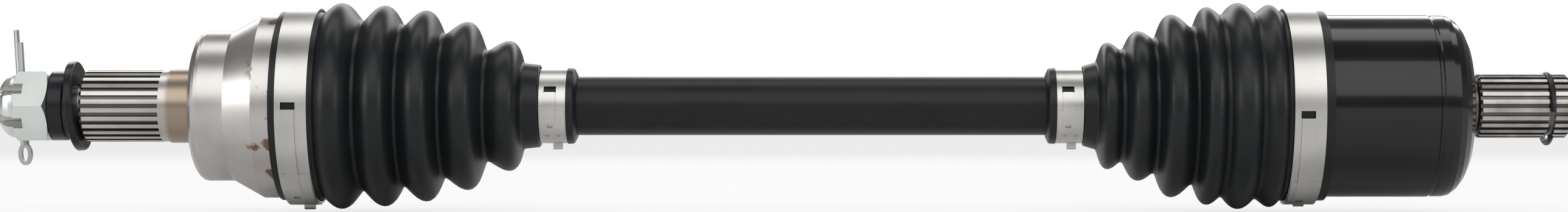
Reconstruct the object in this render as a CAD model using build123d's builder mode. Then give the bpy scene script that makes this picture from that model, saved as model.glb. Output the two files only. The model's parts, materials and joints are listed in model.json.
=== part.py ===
"""A constant-velocity drive axle: wheel-end joint on the left, plunging joint on the right, +X along the bar."""
import os
from math import cos, degrees, radians, sin, sqrt, tan

from build123d import *

# Joint centres on the axle's axis, measured from the middle of the axle
outboard_x = -203.5
inboard_x = 220.0

# Clearances
soft_gap = 0.3
slip_gap = 0.05
thread_gap = 0.05

# Bar
bar_radius = 11.45
neck_radius = 9.8
bar_spline_radius = 10.15
neck_length = 26.0
taper_length = 6.0
bar_end = 13.0

# Ball joints: both ends use the same ball set
ball_radius = 6.5
ball_circle = 22.0
ball_count = 6
race_sphere = 19.3
race_half = 9.0
cage_inner = 19.6
cage_outer = 24.4
cage_half = 10.0
window_gap = 0.3
window_side = 15.0
race_groove_play = 1.4
cup_groove_play = 0.7
groove_start = 42.0
groove_sweep = 82.0
ring_thickness = 1.6
ring_height = 1.7

# Wheel-end bell and its stub
bell_radius = 36.1
bell_back_radius = 29.4
bell_back_edge = 20.4
bell_back = 27.6
bell_shoulder = 22.6
bell_cone_start = 12.5
bell_cone_end = 0.5
boot_seat_start = 6.2
boot_seat_radius = 34.6
bell_mouth = 21.5
bell_mouth_bore = 30.6
bell_cavity = 18.5
journal_radius = 14.5
journal_length = 10.1
spline_radius = 14.05
spline_teeth = 26
spline_groove_depth = 1.25
groove_share = 0.5
spline_length = 33.9
thread_radius = 8.0
tip_radius = 6.0
tip_length = 5.2

# Nut, pin and washers, from the bell's back face outwards
washer_radius = 17.6
washer_thickness = 3.2
washer_tilt = 5.5
washer_hole = 8.6
collar_radius = 13.55
collar_length = 6.2
nut_flats = 27.0
nut_hex_length = 13.5
crown_length = 6.2
crown_radius = 12.6
crown_end_radius = 8.9
slot_width = 4.6
slot_into_hex = 3.9
pin_radius = 1.7
pin_lean = 3.5
pin_long_leg = 30.0
pin_short_leg = 25.0
pin_eye_length = 8.6

# Inner cup and its stub
cup_radius = 35.75
cup_seat_radius = 34.5
cup_mouth = 24.0
cup_seat_end = 7.9
cup_depth = 29.0
cup_groove_x = 33.6
cup_shoulder_x = 38.4
cup_back_x = 49.2
cup_back_radius = 14.4
stub_neck_radius = 10.3
stub_neck_length = 2.6
stub_radius = 12.58
stub_length = 36.8
stub_teeth = 24
stub_groove_depth = 1.1
clip_x = 80.5
clip_wire = 1.1
clip_ring = 13.4
clip_groove_radius = 11.2
clip_gap_angle = 50.0
retainer_x = 20.0
retainer_wire = 1.0

# Boots and bands
boot_wall = 1.6
boot_seat_wall = 2.3
neck_wall = 1.85
band_wall = 0.8
strap_wall = 0.6
tongue_place = 0.42
tongue_share = 0.4
strap_sweep = 52.0
window_height = 2.8
lug_height = 2.6
large_band_width = 12.2
small_band_width = 10.4
# Bellows peaks and valleys: (distance from the joint centre towards the bar, outer radius)
outboard_folds = (
    (23.0, 36.5), (30.2, 40.8), (37.9, 33.1), (47.5, 40.5), (53.8, 31.4), (64.3, 38.6),
    (69.8, 28.1), (80.9, 33.5), (86.4, 21.7), (97.4, 25.6), (100.8, 16.6), (106.5, 16.1),
)
inboard_folds = (
    (24.0, 37.2), (28.6, 39.8), (34.8, 36.5), (41.5, 40.8), (48.1, 35.6), (54.7, 39.2),
    (59.3, 30.5), (69.1, 36.8), (74.2, 26.2), (81.8, 29.3), (87.1, 21.8), (93.6, 25.2),
    (97.2, 17.3), (101.5, 15.6),
)
outboard_small_band = 108.0
inboard_small_band = 102.8
lip_length = 2.7
lip_radius = 14.9

os.makedirs("parts", exist_ok=True)


def write(piece, label):
    """Labels a finished piece and writes it as a node of that name."""
    piece.part.label = label
    export_step(piece.part, f"parts/{label}.step")


def turn(points, mode=Mode.ADD):
    """Turns a closed outline of (x, radius) points about the axle's axis."""
    with BuildSketch(Plane.XZ) as outline:
        with BuildLine():
            Polyline(*points, close=True)
        make_face()
    revolve(outline.sketch, axis=Axis.X, mode=mode)


def ring(x, length, inner, outer):
    """A plain ring from x to x + length."""
    turn([(x, inner), (x + length, inner), (x + length, outer), (x, outer)])


def strap(x, width, inner, wall, start, sweep):
    """A strip of band lying on radius inner, from the angle start (0 is up) round by sweep degrees."""
    with BuildSketch(Plane.XZ.rotated((start, 0, 0))) as section:
        with Locations((x + width / 2, inner + wall / 2)):
            Rectangle(width, wall)
    revolve(section.sketch, axis=Axis.X, revolution_arc=sweep)


def ball_angles():
    """The angles of the balls about the axle's axis, from +Y."""
    return [360 / ball_count * i for i in range(ball_count)]


def cut_teeth(x, length, radius, teeth, depth):
    """Cuts the grooves between a spline's teeth."""
    pitch = 2 * radius * sin(radians(180 / teeth))
    with BuildSketch(Plane.YZ.offset(x)) as grooves:
        with PolarLocations(radius, teeth):
            Rectangle(2 * depth, pitch * groove_share)
    extrude(grooves.sketch, amount=length, mode=Mode.SUBTRACT)


def make_race(label, centre):
    """Inner race: a ball-shaped hub with a groove for each ball."""
    with BuildPart() as race:
        with Locations((centre, 0, 0)):
            Sphere(race_sphere)
            Cylinder(2 * race_sphere, 2 * race_half, rotation=(0, 90, 0), mode=Mode.INTERSECT)
            Cylinder(bar_spline_radius + slip_gap, 4 * race_half, rotation=(0, 90, 0), mode=Mode.SUBTRACT)
        for angle in ball_angles()[: ball_count // 2]:
            with Locations(Location((centre, 0, 0), (angle, 0, 0))):
                Torus(ball_circle, ball_radius + race_groove_play, mode=Mode.SUBTRACT)
    write(race, label)


def make_cage(label, centre):
    """Cage: a ball-shaped ring with a window for each ball."""
    with BuildPart() as cage:
        with Locations((centre, 0, 0)):
            Sphere(cage_outer)
            Sphere(cage_inner, mode=Mode.SUBTRACT)
            Cylinder(2 * cage_outer, 2 * cage_half, rotation=(0, 90, 0), mode=Mode.INTERSECT)
        for angle in ball_angles():
            with Locations(Location((centre, 0, 0), (angle, 0, 0))):
                Box(
                    2 * (ball_radius + window_gap), 2 * cage_outer, window_side,
                    align=(Align.CENTER, Align.MIN, Align.CENTER), mode=Mode.SUBTRACT,
                )
    write(cage, label)


def make_balls(side, centre):
    """The balls of one joint, each a piece of its own."""
    for number, angle in enumerate(ball_angles(), 1):
        place = (centre, ball_circle * cos(radians(angle)), ball_circle * sin(radians(angle)))
        with BuildPart() as ball:
            with Locations(place):
                Sphere(ball_radius)
        write(ball, f"{side}_ball_{number}")


def make_shaft_rings(side, centre, outward):
    """The circlip outside an inner race and the stop ring on its bar side, in the bar's grooves."""
    groove = bar_spline_radius - ring_height / 2
    for label, direction in ((f"{side}_race_circlip", outward), (f"{side}_stop_ring", -outward)):
        middle = centre + direction * (race_half + slip_gap * 2 + ring_thickness / 2)
        with BuildPart() as clip:
            ring(middle - ring_thickness / 2, ring_thickness, groove + slip_gap, groove + ring_height)
            with Locations((middle, 0, 0)):
                Box(2 * ring_thickness, 3.0, 2 * ball_circle,
                    align=(Align.CENTER, Align.CENTER, Align.MAX), mode=Mode.SUBTRACT)
        write(clip, label)


def make_shaft():
    """The bar, necked behind each inner race and splined into it, with the ring grooves cut."""
    left = outboard_x - bar_end
    right = inboard_x + bar_end
    neck = race_half + 3 * ring_thickness
    chamfer_size = 1.0
    with BuildPart() as shaft:
        turn([
            (left, 0), (left, bar_spline_radius - chamfer_size), (left + chamfer_size, bar_spline_radius),
            (outboard_x + neck, bar_spline_radius), (outboard_x + neck, neck_radius),
            (outboard_x + neck_length, neck_radius), (outboard_x + neck_length + taper_length, bar_radius),
            (inboard_x - neck_length - taper_length, bar_radius), (inboard_x - neck_length, neck_radius),
            (inboard_x - neck, neck_radius), (inboard_x - neck, bar_spline_radius),
            (right - chamfer_size, bar_spline_radius), (right, bar_spline_radius - chamfer_size), (right, 0),
        ])
        offset_x = race_half + 2 * slip_gap + ring_thickness / 2
        for centre in (outboard_x, inboard_x):
            for middle in (centre - offset_x, centre + offset_x):
                with BuildSketch(Plane.XZ):
                    with Locations((middle, bar_spline_radius)):
                        Rectangle(ring_thickness + 2 * slip_gap, ring_height)
                revolve(axis=Axis.X, mode=Mode.SUBTRACT)
    write(shaft, "axle_shaft")


def make_bell():
    """Wheel-end housing: bell with curved ball grooves, journal, spline and threaded stub in one forging."""
    sphere = cage_outer + soft_gap
    back = outboard_x - bell_back
    journal_end = back - journal_length
    spline_end = journal_end - spline_length
    thread_end = spline_end - stub_stack()
    corner = bell_back - bell_shoulder
    turn_points = [
        (thread_end - tip_length, 0), (thread_end - tip_length, tip_radius - 0.8),
        (thread_end - tip_length + 0.8, tip_radius), (thread_end, tip_radius),
        (thread_end, thread_radius - 0.8), (thread_end + 0.8, thread_radius),
        (spline_end, thread_radius), (spline_end, spline_radius - 1.0), (spline_end + 1.0, spline_radius),
        (journal_end, spline_radius), (journal_end, journal_radius), (back, journal_radius),
        (back, bell_back_edge),
    ]
    steps = 6
    for step in range(1, steps + 1):
        sweep = radians(90 * step / steps)
        turn_points.append((
            back + corner * (1 - cos(sweep)),
            bell_back_edge + (bell_back_radius - bell_back_edge) * sin(sweep),
        ))
    turn_points += [
        (outboard_x - bell_cone_start, bell_back_radius), (outboard_x - bell_cone_end, bell_radius),
        (outboard_x + boot_seat_start, bell_radius), (outboard_x + boot_seat_start, boot_seat_radius),
        (outboard_x + bell_mouth - 1.0, boot_seat_radius), (outboard_x + bell_mouth, boot_seat_radius - 1.0),
        (outboard_x + bell_mouth, 0),
    ]
    mouth_start = 9.5
    with BuildPart() as bell:
        turn(turn_points)
        turn([
            (outboard_x + mouth_start, 0),
            (outboard_x + mouth_start, sqrt(sphere ** 2 - mouth_start ** 2)),
            (outboard_x + bell_mouth, bell_mouth_bore),
            (outboard_x + bell_mouth + 1, bell_mouth_bore),
            (outboard_x + bell_mouth + 1, 0),
        ], Mode.SUBTRACT)
        with BuildSketch(Plane.XZ):
            with Locations((outboard_x, 0)):
                Circle(sphere)
            with Locations((outboard_x - bell_cavity, 0)):
                Rectangle(
                    bell_cavity + mouth_start + 0.01, 2 * sphere,
                    align=(Align.MIN, Align.MIN), mode=Mode.INTERSECT,
                )
        revolve(axis=Axis.X, mode=Mode.SUBTRACT)
        for angle in ball_angles():
            with Locations(Location((outboard_x, 0, 0), (angle, 0, 0)) * Location((0, 0, 0), (0, 0, groove_start))):
                Torus(
                    ball_circle, ball_radius + cup_groove_play, major_angle=groove_sweep,
                    align=None, mode=Mode.SUBTRACT,
                )
        cut_teeth(spline_end - 0.5, spline_length - 2.5, spline_radius, spline_teeth, spline_groove_depth)
        pin_x = nut_hex_end() + slot_into_hex - pin_clearance()
        with Locations((pin_x, 0, 0)):
            Cylinder(pin_radius + 0.7, 4 * thread_radius, mode=Mode.SUBTRACT)
    write(bell, "outboard_housing")


def pin_clearance():
    """How far the pin's middle stands from the slot's bottom, so that its lean stays clear."""
    return pin_radius + nut_flats / 2 * tan(radians(pin_lean)) + 0.2


def stub_stack():
    """Length of the threaded stub: washer, collar and nut, to the crown's end."""
    return nut_start() + nut_hex_length + crown_length - 0.6


def nut_start():
    """From the spline's end to the nut's inner face."""
    return collar_start() + collar_length


def collar_start():
    """From the spline's end to the collar, leaving room for the tilted washer."""
    lean = tan(radians(washer_tilt))
    return 0.25 + lean * (spline_radius + collar_radius) + washer_thickness / cos(radians(washer_tilt)) + 0.4


def spline_end_x():
    """Where the wheel-end spline ends and the thread starts."""
    return outboard_x - bell_back - journal_length - spline_length


def nut_hex_end():
    """The outer end of the nut's hexagon, where its crown starts."""
    return spline_end_x() - nut_start() - nut_hex_length


def make_stub_hardware():
    """Tilted flange washer, collar, castle nut and cotter pin on the threaded stub."""
    lean = tan(radians(washer_tilt))
    middle = spline_end_x() - 0.25 - lean * spline_radius - washer_thickness / 2 / cos(radians(washer_tilt))
    with BuildPart() as washer:
        with Locations(Location((middle, 0, 0), (0, -washer_tilt, 0))):
            Cylinder(washer_radius, washer_thickness, rotation=(0, 90, 0))
            Cylinder(washer_hole, 2 * washer_thickness, rotation=(0, 90, 0), mode=Mode.SUBTRACT)
        outer_edges = washer.edges().filter_by(GeomType.CIRCLE).sort_by(SortBy.RADIUS)[-2:]
        fillet(outer_edges, 0.7)
    write(washer, "flange_washer")

    collar_end = spline_end_x() - collar_start()
    with BuildPart() as collar:
        ring(collar_end - collar_length, collar_length, thread_radius + 0.2, collar_radius)
        chamfer(collar.edges().filter_by(GeomType.CIRCLE).sort_by(SortBy.RADIUS)[-2:], 0.5)
    write(collar, "collar_washer")

    hex_end = nut_hex_end()
    with BuildPart() as nut:
        with BuildSketch(Plane.YZ.offset(hex_end)):
            RegularPolygon(nut_flats / 2, 6, major_radius=False, rotation=0)
        extrude(amount=nut_hex_length)
        dome = nut_flats / sqrt(3) + 0.02
        bevel = dome - nut_flats / 2
        turn([
            (hex_end, 0), (hex_end, nut_flats / 2), (hex_end + bevel * 0.6, dome),
            (hex_end + nut_hex_length - bevel * 0.6, dome), (hex_end + nut_hex_length, nut_flats / 2),
            (hex_end + nut_hex_length, 0),
        ], Mode.INTERSECT)
        crown_end = hex_end - crown_length
        straight = crown_length * 0.25
        turn([
            (hex_end + 0.01, 0), (hex_end + 0.01, crown_radius), (hex_end - straight, crown_radius),
            (hex_end - crown_length * 0.6, crown_radius - 0.9),
            (hex_end - crown_length * 0.87, crown_end_radius + 1.1), (crown_end, crown_end_radius),
            (crown_end, 0),
        ])
        with Locations((crown_end, 0, 0)):
            Cylinder(thread_radius + thread_gap, 4 * nut_hex_length, rotation=(0, 90, 0), mode=Mode.SUBTRACT)
        for angle in (90, 150, 210):
            with Locations(Location((crown_end - 1, 0, 0), (angle, 0, 0))):
                Box(
                    crown_length + slot_into_hex + 1, 4 * crown_radius, slot_width,
                    align=(Align.MIN, Align.CENTER, Align.CENTER), mode=Mode.SUBTRACT,
                )
    write(nut, "castle_nut")
    make_pin(hex_end + slot_into_hex - pin_clearance())


def make_pin(x):
    """Cotter pin: two half-round legs side by side, and an eye under the nut."""
    eye_top = -(nut_flats / 2 + 0.6)
    middle = Plane((x, 0, 0)).rotated((0, -pin_lean, 0))
    eye_middle = eye_top - pin_eye_length / 2
    with BuildPart() as pin:
        for side, top in ((-1, pin_long_leg), (1, pin_short_leg)):
            with BuildSketch(middle.offset(eye_top)):
                Circle(pin_radius)
                with Locations((side * pin_radius, 0)):
                    Rectangle(2 * pin_radius, 2 * pin_radius, mode=Mode.INTERSECT)
                with Locations((0, 0)):
                    Rectangle(0.1, 2 * pin_radius, mode=Mode.SUBTRACT)
            extrude(amount=top - eye_top)
        with BuildSketch(middle.offset(eye_top - 1.2)):
            Circle(pin_radius * 0.98)
        extrude(amount=1.6)
        with BuildSketch(Plane(origin=middle.origin, x_dir=middle.x_dir, z_dir=-middle.y_dir)):
            with Locations((0, eye_middle - 0.6)):
                Ellipse(2.6, pin_eye_length / 2)
                Ellipse(1.2, pin_eye_length / 2 - 1.4, mode=Mode.SUBTRACT)
        extrude(amount=pin_radius * 0.8, both=True)
    write(pin, "cotter_pin")


def make_cup():
    """Plunging housing: cup with straight ball grooves, and its splined stub in one forging."""
    bore = cage_outer + soft_gap
    shoulder = []
    steps = 6
    for step in range(1, steps + 1):
        sweep = radians(90 * step / steps)
        shoulder.append((
            inboard_x + cup_shoulder_x + (cup_back_x - cup_shoulder_x) * sin(sweep) ** 1.15,
            cup_back_radius + (cup_radius - cup_back_radius) * cos(sweep) ** 0.85,
        ))
    neck_end = inboard_x + cup_back_x + stub_neck_length
    stub_end = neck_end + stub_length
    with BuildPart() as cup:
        turn([
            (inboard_x - cup_mouth, 0), (inboard_x - cup_mouth, cup_seat_radius - 0.8),
            (inboard_x - cup_mouth + 0.8, cup_seat_radius), (inboard_x - cup_seat_end, cup_seat_radius),
            (inboard_x - cup_seat_end, cup_radius), (inboard_x + cup_groove_x - 1.0, cup_radius),
            (inboard_x + cup_groove_x - 0.5, cup_radius - 0.5), (inboard_x + cup_groove_x + 0.5, cup_radius - 0.5),
            (inboard_x + cup_groove_x + 1.0, cup_radius - 0.15), (inboard_x + cup_shoulder_x, cup_radius - 0.15),
            *shoulder,
            (inboard_x + cup_back_x, stub_neck_radius), (neck_end, stub_neck_radius),
            (neck_end + 1.4, stub_radius), (stub_end - 1.4, stub_radius), (stub_end, stub_radius - 1.4),
            (stub_end, 0),
        ])
        bore_outline = [
            (inboard_x - cup_mouth - 1, 0), (inboard_x - cup_mouth - 1, bore + 1.5),
            (inboard_x - cup_mouth, bore + 1.5), (inboard_x - cup_mouth + 1.5, bore),
            (inboard_x + cup_depth - 4, bore), (inboard_x + cup_depth, bore - 5), (inboard_x + cup_depth, 0),
        ]
        turn(bore_outline, Mode.SUBTRACT)
        with BuildSketch(Plane.YZ.offset(inboard_x - cup_mouth - 1)):
            with PolarLocations(ball_circle, ball_count):
                Circle(ball_radius + cup_groove_play)
        extrude(amount=cup_mouth + 1 + cup_depth - 2, mode=Mode.SUBTRACT)
        groove_half = retainer_wire + slip_gap
        with BuildSketch(Plane.XZ):
            with Locations((inboard_x - retainer_x, bore)):
                Rectangle(2 * groove_half, 2 * groove_half)
        revolve(axis=Axis.X, mode=Mode.SUBTRACT)
        cut_teeth(neck_end - 0.5, stub_length + 1, stub_radius, stub_teeth, stub_groove_depth)
        with BuildSketch(Plane.XZ):
            with Locations((inboard_x + clip_x, stub_radius + 1)):
                Rectangle(2 * clip_wire + 0.4, 2 * (stub_radius + 1 - clip_groove_radius))
        revolve(axis=Axis.X, mode=Mode.SUBTRACT)
    write(cup, "inboard_housing")


def make_wire_rings():
    """The retaining wire inside the cup's mouth and the clip that hangs on the inner stub."""
    bore = cage_outer + soft_gap
    with BuildPart() as retainer:
        with BuildSketch(Plane.XZ.rotated((10, 0, 0))):
            with Locations((inboard_x - retainer_x, bore)):
                Circle(retainer_wire)
        revolve(axis=Axis.X, revolution_arc=340)
    write(retainer, "cup_retaining_ring")

    drop = clip_ring - clip_wire - clip_groove_radius - slip_gap
    axis = Axis((inboard_x + clip_x, 0, -drop), (1, 0, 0))
    opening = 180 + clip_gap_angle / 2 - 60
    with BuildPart() as clip:
        with BuildSketch(Plane((0, 0, -drop), x_dir=(1, 0, 0), z_dir=(0, -1, 0)).rotated((opening, 0, 0))):
            with Locations((inboard_x + clip_x, clip_ring)):
                Circle(clip_wire)
        revolve(axis=axis, revolution_arc=360 - clip_gap_angle)
    write(clip, "stub_circlip")


def make_boot(label, centre, toward_bar, seat_radius, seat_edge, folds, small_band):
    """Bellows boot: seat on the housing, folds, and a neck on the bar; one hollow turned solid."""
    neck_inner = bar_radius + soft_gap
    neck_outer = neck_inner + neck_wall
    seat_inner = seat_radius + soft_gap
    seat_outer = seat_inner + boot_seat_wall
    neck_end = small_band + small_band_width
    outside = [(seat_edge + 0.4, seat_outer), *folds, (small_band, neck_outer), (neck_end, neck_outer)]
    lip_end = neck_end + lip_length
    outside += [(neck_end, lip_radius), (lip_end, lip_radius - 0.2), (lip_end + 1.2, neck_inner + 0.5)]
    inside = [(lip_end + 1.2, neck_inner), (small_band - 1, neck_inner)]
    inside += [(x, radius - boot_wall) for x, radius in reversed(folds[1:])]
    inside += [(folds[0][0], seat_inner), (seat_edge + 0.4, seat_inner)]
    with BuildPart() as boot:
        turn([(centre + toward_bar * x, radius) for x, radius in outside + inside])
    write(boot, label)


def make_band(label, x, width, inner, window, seam, lug):
    """Stainless band: a loop with a window, the tongue that hooks it, the lapped strap and the crimped lug."""
    outer = inner + band_wall
    top = outer + strap_wall
    tongue_x = x + width * tongue_place
    tongue_width = width * tongue_share
    lug_length = 3.0
    window_arc = degrees(window_height / outer)
    with BuildPart() as band:
        ring(x, width, inner, outer)
        strap(x + width * 0.03, width * 0.94, outer - 0.01, strap_wall, seam, strap_sweep)
        strap(tongue_x - tongue_width / 2, tongue_width, outer - 0.01, strap_wall * 1.4, window + window_arc / 2,
              seam - window + strap_sweep * 0.3)
        with Locations(Location((tongue_x, 0, 0), (window, 0, 0)) * Location((0, 0, outer))):
            Box(tongue_width * 1.15, window_height, 3 * band_wall, mode=Mode.SUBTRACT)
        with Locations(Location((tongue_x, 0, 0), (seam + strap_sweep * 0.45, 0, 0)) * Location((0, 0, top))):
            Box(tongue_width * 0.55, tongue_width * 0.5, 3 * strap_wall, mode=Mode.SUBTRACT)
        for along in (0.3, 0.7):
            dimple = Location((x + width * along, 0, 0), (seam + strap_sweep * 0.8, 0, 0)) * Location((0, 0, top))
            with Locations(dimple):
                Box(width * 0.16, 1.4, 0.8, mode=Mode.SUBTRACT)
        with Locations(Location((x + width * 0.62, 0, 0), (lug, 0, 0)) * Location((0, 0, outer - 0.2))):
            Box(width * 0.34, lug_length, lug_height, align=(Align.CENTER, Align.CENTER, Align.MIN))
            fillet(band.edges().filter_by(Axis.X).sort_by(Axis.Z)[:2], 0.9)
    write(band, label)


make_shaft()
make_bell()
make_stub_hardware()
make_cup()
make_wire_rings()
for side, centre, outward in (("outboard", outboard_x, -1), ("inboard", inboard_x, 1)):
    make_race(f"{side}_inner_race", centre)
    make_cage(f"{side}_cage", centre)
    make_balls(side, centre)
    make_shaft_rings(side, centre, outward)
make_boot("outboard_boot", outboard_x, 1, boot_seat_radius, boot_seat_start, outboard_folds, outboard_small_band)
make_boot("inboard_boot", inboard_x, -1, cup_seat_radius, cup_seat_end, inboard_folds, inboard_small_band)
large_gap = 2 * soft_gap + boot_seat_wall
outboard_large_x = outboard_x + 9.2
inboard_large_x = inboard_x - 11.6 - large_band_width
make_band(
    "outboard_large_clamp", outboard_large_x, large_band_width, boot_seat_radius + large_gap, 90, 133, 180,
)
make_band(
    "inboard_large_clamp", inboard_large_x, large_band_width, cup_seat_radius + large_gap, 95, 140, 192,
)
small_inner = bar_radius + 2 * soft_gap + neck_wall
small_left = inboard_x - inboard_small_band - small_band_width
make_band(
    "outboard_small_clamp", outboard_x + outboard_small_band, small_band_width, small_inner, 64, 97, 180,
)
make_band("inboard_small_clamp", small_left, small_band_width, small_inner, 64, 97, 180)
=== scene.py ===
import json
import math

import bmesh
import bpy
from mathutils import Matrix, Vector


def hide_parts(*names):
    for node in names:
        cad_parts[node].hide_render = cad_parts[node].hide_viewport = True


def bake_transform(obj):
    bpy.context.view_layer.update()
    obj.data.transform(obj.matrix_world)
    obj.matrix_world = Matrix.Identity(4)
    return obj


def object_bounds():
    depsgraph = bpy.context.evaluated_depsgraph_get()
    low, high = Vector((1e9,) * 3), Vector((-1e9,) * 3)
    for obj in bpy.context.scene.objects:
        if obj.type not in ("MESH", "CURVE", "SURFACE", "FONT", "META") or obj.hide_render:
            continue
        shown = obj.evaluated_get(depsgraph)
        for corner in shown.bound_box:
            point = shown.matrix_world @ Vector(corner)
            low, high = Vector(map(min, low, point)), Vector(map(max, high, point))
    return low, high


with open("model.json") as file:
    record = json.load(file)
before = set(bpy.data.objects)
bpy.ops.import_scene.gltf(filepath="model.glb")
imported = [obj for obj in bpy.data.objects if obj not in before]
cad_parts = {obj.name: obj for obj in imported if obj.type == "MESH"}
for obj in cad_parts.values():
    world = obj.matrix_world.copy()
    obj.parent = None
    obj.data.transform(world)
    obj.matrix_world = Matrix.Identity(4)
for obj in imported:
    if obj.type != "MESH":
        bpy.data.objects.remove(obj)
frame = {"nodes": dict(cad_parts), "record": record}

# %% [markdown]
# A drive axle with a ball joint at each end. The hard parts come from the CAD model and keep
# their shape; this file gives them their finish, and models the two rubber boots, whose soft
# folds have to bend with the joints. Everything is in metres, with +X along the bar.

CAD_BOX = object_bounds()
MM = 0.001
nodes = frame["nodes"]
record = frame["record"]
slot_of = {row["node"]: row["material_slot"] for row in record["subparts"]}
joint_at = {row["name"]: row["pos_m"][0] for row in record["behaviour"]["joints"] if row.get("pos_m")}
outboard_x = joint_at["wheel_end_bend"]
inboard_x = joint_at["inner_end_bend"]
bpy.ops.object.select_all(action="DESELECT")
print("the axle is", round(CAD_BOX[1][0] - CAD_BOX[0][0], 4), "m long")

# %% [markdown]
# Worn and handled metal is never one even gloss. One node group makes the slow cloudy change
# of roughness, the fine grain and the small bumps, and each material sets its own amounts.

# %% A shared group for uneven surfaces
def new_group(name, inputs, outputs):
    """A shader node group with those sockets, and its two end nodes."""
    group = bpy.data.node_groups.new(name, "ShaderNodeTree")
    for label, kind, value in inputs:
        socket = group.interface.new_socket(label, in_out="INPUT", socket_type=kind)
        socket.default_value = value
    for label, kind in outputs:
        group.interface.new_socket(label, in_out="OUTPUT", socket_type=kind)
    return group, group.nodes.new("NodeGroupInput"), group.nodes.new("NodeGroupOutput")


def math_node(tree, operation, first, second):
    """A Math node; either side is a socket or a number."""
    node = tree.nodes.new("ShaderNodeMath")
    node.operation = operation
    for side, value in enumerate((first, second)):
        if isinstance(value, bpy.types.NodeSocket):
            tree.links.new(value, node.inputs[side])
        else:
            node.inputs[side].default_value = value
    return node.outputs[0]


def noise_node(tree, vector, scale, detail=4.0):
    """Noise on that vector, as one value from 0 to 1."""
    node = tree.nodes.new("ShaderNodeTexNoise")
    node.inputs["Detail"].default_value = detail
    tree.links.new(vector, node.inputs["Vector"])
    if isinstance(scale, bpy.types.NodeSocket):
        tree.links.new(scale, node.inputs["Scale"])
    else:
        node.inputs["Scale"].default_value = scale
    return node.outputs["Fac"]


PATCHES_PER_METRE = 75.0


def make_uneven():
    """Clouds for colour and roughness, grain and lathe rings for bumps, and patches for stains."""
    number = "NodeSocketFloat"
    group, start, end = new_group(
        "uneven surface",
        [("Cloud scale", number, 40.0), ("Grain scale", number, 2500.0), ("Rings per metre", number, 2500.0)],
        [("Cloud", number), ("Grain", number), ("Rings", number), ("Patches", number)],
    )
    links = group.links
    place = group.nodes.new("ShaderNodeTexCoord").outputs["Object"]
    cloud = noise_node(group, place, start.outputs["Cloud scale"], 6.0)
    grain = noise_node(group, place, start.outputs["Grain scale"], 2.0)
    parts = group.nodes.new("ShaderNodeSeparateXYZ")
    links.new(place, parts.inputs[0])
    along = group.nodes.new("ShaderNodeCombineXYZ")
    links.new(parts.outputs[0], along.inputs[0])
    rings = noise_node(group, along.outputs[0], start.outputs["Rings per metre"], 3.0)
    patches = noise_node(group, place, PATCHES_PER_METRE, 8.0)
    for label, value in (("Cloud", cloud), ("Grain", grain), ("Rings", rings), ("Patches", patches)):
        links.new(value, end.inputs[label])
    return group


uneven = make_uneven()


# %% A helper for every finish
SOFT_GLOSS = 0.3
BUMP_HEIGHT = 0.0002


def ramp(tree, factor, stops):
    """A colour ramp on factor; stops are (place, colour)."""
    node = tree.nodes.new("ShaderNodeValToRGB")
    elements = node.color_ramp.elements
    while len(elements) < len(stops):
        elements.new(0.5)
    for element, (place, colour) in zip(elements, stops):
        element.position = place
        element.color = (*colour, 1.0)
    tree.links.new(factor, node.inputs[0])
    return node.outputs[0]


def finish_of(name, dark, light, rough, metal, bump, layer="Grain", coat=0.0, clouds=40.0, rings=2500.0):
    """A finish whose colour runs from dark to light with the clouds, with its roughness and bumps."""
    material = bpy.data.materials.new(name)
    material.use_nodes = True
    tree = material.node_tree
    shader = tree.nodes["Principled BSDF"]
    source = tree.nodes.new("ShaderNodeGroup")
    source.node_tree = uneven
    source.inputs["Cloud scale"].default_value = clouds
    source.inputs["Rings per metre"].default_value = rings
    colour = ramp(tree, source.outputs["Cloud"], [(0.3, dark), (0.7, light)])
    tree.links.new(colour, shader.inputs["Base Color"])
    spread = math_node(tree, "MULTIPLY", source.outputs["Cloud"], rough[1] - rough[0])
    tree.links.new(math_node(tree, "ADD", spread, rough[0]), shader.inputs["Roughness"])
    shader.inputs["Metallic"].default_value = metal
    shader.inputs["Coat Weight"].default_value = coat
    if metal < 0.5:  # rubber and paint, which mirror less than a hard plastic
        shader.inputs["Specular IOR Level"].default_value = SOFT_GLOSS
    shader.inputs["Coat Roughness"].default_value = 0.06
    raised = tree.nodes.new("ShaderNodeBump")
    raised.inputs["Strength"].default_value = bump
    raised.inputs["Distance"].default_value = BUMP_HEIGHT
    tree.links.new(source.outputs[layer], raised.inputs["Height"])
    tree.links.new(raised.outputs[0], shader.inputs["Normal"])
    return material, tree, shader, source


# %% Masks by place on the axle
def along_and_out(tree):
    """The object's place as its X along the bar and its distance out from the bar's axis."""
    place = tree.nodes.new("ShaderNodeTexCoord").outputs["Object"]
    parts = tree.nodes.new("ShaderNodeSeparateXYZ")
    tree.links.new(place, parts.inputs[0])
    squares = [math_node(tree, "MULTIPLY", parts.outputs[i], parts.outputs[i]) for i in (1, 2)]
    out = math_node(tree, "SQRT", math_node(tree, "ADD", *squares), 0.0)
    return parts.outputs[0], out


def blend_colour(tree, mask, first, second):
    """first where the mask is 0 and second where it is 1; each a socket or a colour."""
    mixer = tree.nodes.new("ShaderNodeMix")
    mixer.data_type = "RGBA"
    tree.links.new(mask, mixer.inputs["Factor"])
    for index, value in ((6, first), (7, second)):
        if isinstance(value, bpy.types.NodeSocket):
            tree.links.new(value, mixer.inputs[index])
        else:
            mixer.inputs[index].default_value = (*value, 1.0)
    return mixer.outputs[2]


# A near-black for the floors of the spline grooves, so they are darker than the teeth.
SPLINE_GROOVE_DARK = (0.06, 0.05, 0.045)


def darken_groove_floors(tree, along, out, steel, low, high, radius):
    """Darkens the steel of a spline between low and high, where it lies below that radius."""
    inside = math_node(tree, "MULTIPLY", math_node(tree, "GREATER_THAN", along, low),
                       math_node(tree, "LESS_THAN", along, high))
    deep = math_node(tree, "MULTIPLY", inside, math_node(tree, "LESS_THAN", out, radius))
    return blend_colour(tree, math_node(tree, "MULTIPLY", deep, 0.85), steel, SPLINE_GROOVE_DARK)


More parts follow.
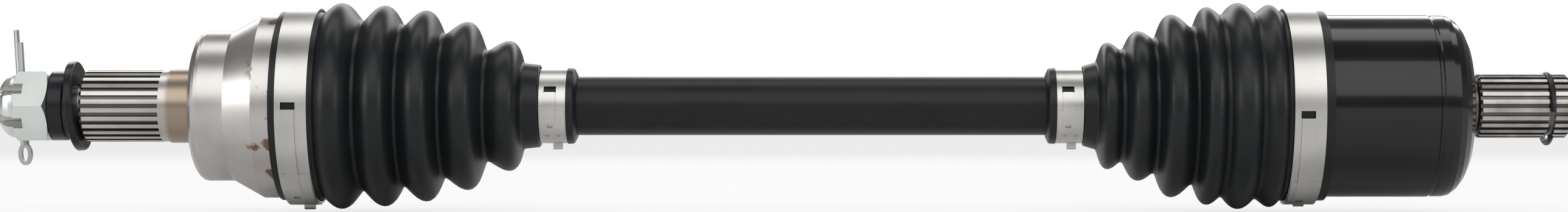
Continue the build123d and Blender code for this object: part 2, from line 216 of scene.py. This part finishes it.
# %% [markdown]
# The bell is bare forged and turned steel. Hardening leaves it brown in patches beside the boot
# and straw-coloured on the journal, so the tint is kept to those lengths of the X axis.

# %% Bare steel with heat tint
BELL_RIM = outboard_x + 0.0025
JOURNAL = outboard_x - 0.0325
WHEEL_SPLINE = (outboard_x - 0.0720, outboard_x - 0.0375)
WHEEL_SPLINE_FLOOR = 0.0134
BROWN, STRAW = (0.13, 0.055, 0.02), (0.33, 0.25, 0.18)


def make_bare_steel():
    """Turned steel, browned where the object's X lies near the boot's edge and on the journal."""
    material, tree, shader, source = finish_of(
        "bare steel", (0.44, 0.42, 0.40), (0.60, 0.58, 0.56), (0.26, 0.4), 1.0, 0.12, "Rings",
    )
    along, out = along_and_out(tree)
    steel = shader.inputs["Base Color"].links[0].from_socket
    tints = ((BELL_RIM, 0.0060, BROWN, 0.56, 0.60), (JOURNAL, 0.0062, STRAW, 0.10, 0.35))
    for middle, reach, colour, low, high in tints:
        away = math_node(tree, "ABSOLUTE", math_node(tree, "SUBTRACT", along, middle), 0.0)
        near = math_node(tree, "SUBTRACT", 1.0, math_node(tree, "DIVIDE", away, reach))
        inside = math_node(tree, "MINIMUM", math_node(tree, "MULTIPLY", near, 3.0), 1.0)
        inside = math_node(tree, "MAXIMUM", inside, 0.0)
        patchy = ramp(tree, source.outputs["Patches"], [(low, (0, 0, 0)), (high, (1, 1, 1))])
        mask = math_node(tree, "MULTIPLY", inside, patchy)
        steel = blend_colour(tree, math_node(tree, "MULTIPLY", mask, 0.85), steel, colour)
    steel = darken_groove_floors(tree, along, out, steel, *WHEEL_SPLINE, WHEEL_SPLINE_FLOOR)
    tree.links.new(steel, shader.inputs["Base Color"])
    return material


# %% [markdown]
# The inner housing is one forging too, but only its cup is painted. The paint stops at the
# cup's back face, so colour, metalness and roughness all change at that place along X.

# %% Painted cup with a bare stub
CUP_BACK = inboard_x + 0.0490
STUB_SPLINE_END = CUP_BACK + 0.045
STUB_SPLINE_FLOOR = 0.0120


def make_painted_cup():
    """Gloss black up to the cup's back face, bare steel from there on."""
    material, tree, shader, source = finish_of(
        "painted cup", (0.003, 0.0035, 0.004), (0.005, 0.0055, 0.006), (0.16, 0.22), 0.0, 0.08,
        "Cloud", coat=0.3,
    )
    along, out = along_and_out(tree)
    bare = math_node(tree, "GREATER_THAN", along, CUP_BACK)
    paint = shader.inputs["Base Color"].links[0].from_socket
    steel = ramp(
        tree, source.outputs["Patches"], [(0.35, (0.30, 0.28, 0.26)), (0.65, (0.56, 0.54, 0.52))],
    )
    steel = darken_groove_floors(tree, along, out, steel, CUP_BACK, STUB_SPLINE_END, STUB_SPLINE_FLOOR)
    tree.links.new(blend_colour(tree, bare, paint, steel), shader.inputs["Base Color"])
    tree.links.new(bare, shader.inputs["Metallic"])
    paint_rough = shader.inputs["Roughness"].links[0].from_socket
    rougher = math_node(tree, "MULTIPLY", bare, 0.16)
    tree.links.new(math_node(tree, "ADD", paint_rough, rougher), shader.inputs["Roughness"])
    return material


# %% All the finishes, by slot
plain_finishes = (
    ("zinc_plate", "bright zinc", (0.60, 0.64, 0.61), (0.74, 0.77, 0.74), (0.3, 0.42), 1.0, 0.10),
    ("pin_zinc", "dull zinc", (0.40, 0.40, 0.40), (0.58, 0.58, 0.57), (0.34, 0.5), 1.0, 0.15),
    ("black_oxide", "black oxide", (0.006, 0.006, 0.008), (0.014, 0.014, 0.018), (0.2, 0.34), 0.2, 0.12),
    (
        "satin_black", "satin black paint",
        (0.003, 0.0035, 0.004), (0.007, 0.007, 0.008), (0.36, 0.46), 0.0, 0.12,
    ),
    ("boot_rubber", "boot rubber", (0.004, 0.005, 0.006), (0.009, 0.010, 0.011), (0.3, 0.42), 0.0, 0.16),
    ("ground_steel", "ground steel", (0.60, 0.60, 0.61), (0.7, 0.7, 0.71), (0.12, 0.2), 1.0, 0.04),
    ("spring_steel", "spring steel", (0.015, 0.015, 0.018), (0.04, 0.04, 0.045), (0.3, 0.42), 0.6, 0.1),
)
finishes = {slot: finish_of(*amounts)[0] for slot, *amounts in plain_finishes}
finishes["machined_steel"] = make_bare_steel()
finishes["gloss_black"] = make_painted_cup()
finishes["band_steel"] = finish_of(
    "band steel", (0.50, 0.49, 0.47), (0.64, 0.63, 0.60), (0.28, 0.4), 1.0, 0.12, "Rings",
)[0]
for name, piece in nodes.items():
    piece.data.materials.clear()
    piece.data.materials.append(finishes[slot_of[name]])
print(len(nodes), "CAD pieces have a finish")

# %% [markdown]
# A boot is one wall of rubber moulded into folds. Its outline is a row of crests and valleys.
# Each corner is rounded: crests fully and valleys tightly, as in the mould. The outline is spun
# round the bar. Each boot is cut at a valley, where a cut shows least.

# %% The outline of a boot
CREST, VALLEY = 6.2, 1.7
CREST_SHARE, OTHER_SHARE = 0.66, 0.3


def rounded(corners, steps=7):
    """The outline through (x, radius, rounding) corners in millimetres, each rounded by a curve.

    A curve takes up no more than its share of the straight on either side of the corner."""
    outline = [Vector(corners[0][:2])]
    for before, here, after in zip(corners, corners[1:], corners[2:]):
        back = Vector(before[:2]) - Vector(here[:2])
        ahead = Vector(after[:2]) - Vector(here[:2])
        turn = math.pi - back.angle(ahead)
        share = CREST_SHARE if here[2] == CREST else OTHER_SHARE
        reach = min(here[2] * math.tan(turn / 2), share * back.length, share * ahead.length)
        start = Vector(here[:2]) + back.normalized() * reach
        end = Vector(here[:2]) + ahead.normalized() * reach
        for step in range(steps + 1):
            t = step / steps
            outline.append(start * (1 - t) ** 2 + Vector(here[:2]) * 2 * t * (1 - t) + end * t ** 2)
    outline.append(Vector(corners[-1][:2]))
    return outline


# Each row of corners starts at the band's end of the boot and runs to its neck on the bar
outboard_outline = [
    (6.5, 37.0, 0.3), (9.0, 37.3, 0.3), (9.3, 37.1, 0.2), (21.3, 37.1, 0.3), (23.0, 36.3, VALLEY),
    (30.0, 42.8, CREST), (37.9, 32.8, VALLEY), (47.4, 43.0, CREST), (53.8, 31.0, VALLEY),
    (64.2, 41.3, CREST), (69.8, 27.7, VALLEY), (81.0, 36.2, CREST), (86.4, 21.3, VALLEY),
    (97.8, 28.2, CREST), (101.0, 16.9, VALLEY), (107.6, 16.2, 1.0), (108.0, 13.6, 0.2), (118.4, 13.6, 0.2),
    (118.5, 15.0, 0.5), (121.0, 14.8, 1.0), (122.3, 12.2, 0.3),
]
inboard_outline = [
    (8.0, 37.2, 0.3), (11.4, 37.3, 0.3), (11.6, 37.0, 0.2), (23.8, 37.0, 0.3), (25.4, 37.2, VALLEY),
    (28.8, 40.9, CREST), (34.8, 36.2, VALLEY), (41.8, 42.9, CREST), (48.1, 35.3, VALLEY),
    (54.9, 41.2, CREST), (59.3, 30.1, VALLEY), (69.4, 39.6, CREST), (74.2, 25.8, VALLEY),
    (82.0, 31.8, CREST), (87.1, 21.4, VALLEY), (93.9, 27.2, CREST), (97.2, 17.2, VALLEY),
    (102.4, 15.7, 1.0), (102.8, 13.6, 0.2), (113.2, 13.6, 0.2), (113.3, 15.0, 0.5), (115.9, 14.8, 1.0),
    (117.1, 12.2, 0.3),
]


# %% Spinning a stretch of boot
BOOT_WALL = 1.5 * MM
TURN_STEPS = 144
TINY = 1e-6
PAST_NECK = 130


def spin_boot(name, outline, centre, direction, first, last):
    """The stretch of boot from first to last millimetres from the joint, with its rubber wall."""
    stretch = [point for point in rounded(outline) if first - TINY <= point.x <= last + TINY]
    bpy.ops.object.select_all(action="DESELECT")
    bpy.ops.mesh.primitive_plane_add()
    boot = bpy.context.object
    boot.name = name
    mesh = bmesh.new()
    verts = [mesh.verts.new((centre + direction * p.x * MM, 0, p.y * MM)) for p in stretch]
    for one, two in zip(verts, verts[1:]):
        mesh.edges.new((one, two))
    mesh.to_mesh(boot.data)
    mesh.free()
    bpy.ops.object.mode_set(mode="EDIT")
    bpy.ops.mesh.select_all(action="SELECT")
    bpy.ops.mesh.spin(steps=TURN_STEPS, angle=2 * math.pi, center=(0, 0, 0), axis=(1, 0, 0))
    bpy.ops.mesh.select_all(action="SELECT")
    bpy.ops.mesh.remove_doubles(threshold=TINY)
    bpy.ops.mesh.normals_make_consistent(inside=False)
    bpy.ops.object.mode_set(mode="OBJECT")
    middle = boot.data.polygons[len(boot.data.polygons) // 2]
    if middle.normal.dot(Vector((0, middle.center.y, middle.center.z))) < 0:
        boot.data.flip_normals()
    thick = boot.modifiers.new("wall", "SOLIDIFY")
    thick.thickness = BOOT_WALL
    thick.offset = -1.0
    bpy.ops.object.modifier_apply(modifier=thick.name)
    bpy.ops.object.shade_smooth_by_angle(angle=math.radians(50))
    bpy.ops.object.transform_apply()
    boot.data.materials.clear()
    boot.data.materials.append(finishes["boot_rubber"])
    return boot


def valley_place(outline, near, reach=3):
    """Where the outline lies lowest within reach of that distance, which is where to cut it."""
    points = [p for p in rounded(outline) if abs(p.x - near) < reach]
    return min(points, key=lambda p: p.y).x


def blend_boot(boot):
    """Bakes a stretch of boot's placement into its mesh."""
    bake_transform(boot)


cut = valley_place(outboard_outline, 53.8)
outer_neck = spin_boot("outboard_boot_neck_folds", outboard_outline, outboard_x, 1, cut, PAST_NECK)
outer_wide = spin_boot("outboard_boot_wide_folds", outboard_outline, outboard_x, 1, 0, cut)
blend_boot(outer_neck)
blend_boot(outer_wide)
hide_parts("outboard_boot")

cut_neck, cut_wide = valley_place(inboard_outline, 59.3), valley_place(inboard_outline, 48.1)
inner_neck = spin_boot("inboard_boot_neck_folds", inboard_outline, inboard_x, -1, cut_neck, PAST_NECK)
inner_mid = spin_boot("inboard_boot_middle_fold", inboard_outline, inboard_x, -1, cut_wide, cut_neck)
inner_wide = spin_boot("inboard_boot_wide_folds", inboard_outline, inboard_x, -1, 0, cut_wide)
blend_boot(inner_neck)
blend_boot(inner_mid)
blend_boot(inner_wide)
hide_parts("inboard_boot")

# %% [markdown]
# The axle lies on a white floor in a white studio. To the camera the floor is mostly plain white,
# and the rest of it keeps the soft shadow. The studio is far brighter to the camera than it is
# as a light, so that the black rubber and paint stay black.

# %% Floor
FLOOR_SIZE, FLOOR_GAP = 12, 0.0006
FLOOR_SHADE, PLAIN_SHARE = (0.86, 0.86, 0.86), 0.8


def add_floor():
    """A flat floor just under the axle, mixed with plain white where the camera sees it."""
    bpy.ops.object.select_all(action="DESELECT")
    bpy.ops.mesh.primitive_plane_add(size=FLOOR_SIZE, location=(0, 0, CAD_BOX[0][2] - FLOOR_GAP))
    floor = bpy.context.object
    floor.name = "floor"
    bpy.ops.object.transform_apply()
    material = bpy.data.materials.new("floor")
    material.use_nodes = True
    tree = material.node_tree
    matt = tree.nodes["Principled BSDF"]
    matt.inputs["Base Color"].default_value = (*FLOOR_SHADE, 1)
    matt.inputs["Roughness"].default_value = 0.9
    clean = tree.nodes.new("ShaderNodeEmission")
    mixer = tree.nodes.new("ShaderNodeMixShader")
    rays = tree.nodes.new("ShaderNodeLightPath")
    seen = math_node(tree, "MULTIPLY", rays.outputs["Is Camera Ray"], PLAIN_SHARE)
    tree.links.new(seen, mixer.inputs[0])
    tree.links.new(matt.outputs[0], mixer.inputs[1])
    tree.links.new(clean.outputs[0], mixer.inputs[2])
    tree.links.new(mixer.outputs[0], tree.nodes["Material Output"].inputs[0])
    floor.data.materials.append(material)


add_floor()

# %% Studio
SEEN, MIRRORED, LIGHT = 0.86, 0.04, 0.14
world = bpy.data.worlds.new("studio")
bpy.context.scene.world = world
world.use_nodes = True
tree = world.node_tree
plain = tree.nodes["Background"]
plain.inputs["Color"].default_value = (1, 1, 1, 1)
rays = tree.nodes.new("ShaderNodeLightPath")
seen = math_node(tree, "MULTIPLY", rays.outputs["Is Camera Ray"], SEEN)
mirrored = math_node(tree, "MULTIPLY", rays.outputs["Is Glossy Ray"], MIRRORED)
strength = math_node(tree, "ADD", math_node(tree, "ADD", seen, mirrored), LIGHT)
tree.links.new(strength, plain.inputs["Strength"])


# %% Lamps
def add_lamp(name, place, target, size, power):
    """A soft rectangular lamp at place, facing target."""
    data = bpy.data.lights.new(name, "AREA")
    data.shape = "RECTANGLE"
    data.size, data.size_y = size
    data.energy = power
    lamp = bpy.data.objects.new(name, data)
    bpy.context.collection.objects.link(lamp)
    lamp.matrix_world = Matrix.Translation(place) @ (
        (Vector(place) - Vector(target)).to_track_quat("Z", "Y").to_matrix().to_4x4()
    )


add_lamp("front softbox", (0, -0.98, 0.69), (0, 0, 0), (2.6, 1.0), 13)
add_lamp("top softbox", (0, 0.25, 1.2), (0, 0, 0), (2.2, 0.5), 7)
add_lamp("wheel end", (-1.3, -0.5, 0.3), (-0.2, 0, 0), (0.5, 0.5), 3.5)
add_lamp("inner end", (1.3, -0.5, 0.3), (0.2, 0, 0), (0.5, 0.5), 3)
add_lamp("back", (0, 1.2, 0.6), (0, 0, 0), (2.0, 0.4), 7)

# %% Camera, level with the bar
FRAME_WIDTH, DISTANCE, AIM = 0.6182, 1.25, 0.0233
SENSOR_MM = 36
camera_data = bpy.data.cameras.new("camera")
camera = bpy.data.objects.new("camera", camera_data)
bpy.context.collection.objects.link(camera)
camera.matrix_world = Matrix.Translation((AIM, -DISTANCE, 0)) @ Matrix.Rotation(math.pi / 2, 4, "X")
camera_data.sensor_width = SENSOR_MM
camera_data.lens = SENSOR_MM * DISTANCE / FRAME_WIDTH
camera_data.shift_x = -AIM / FRAME_WIDTH
bpy.context.scene.camera = camera
bpy.context.scene.view_settings.view_transform = "Standard"
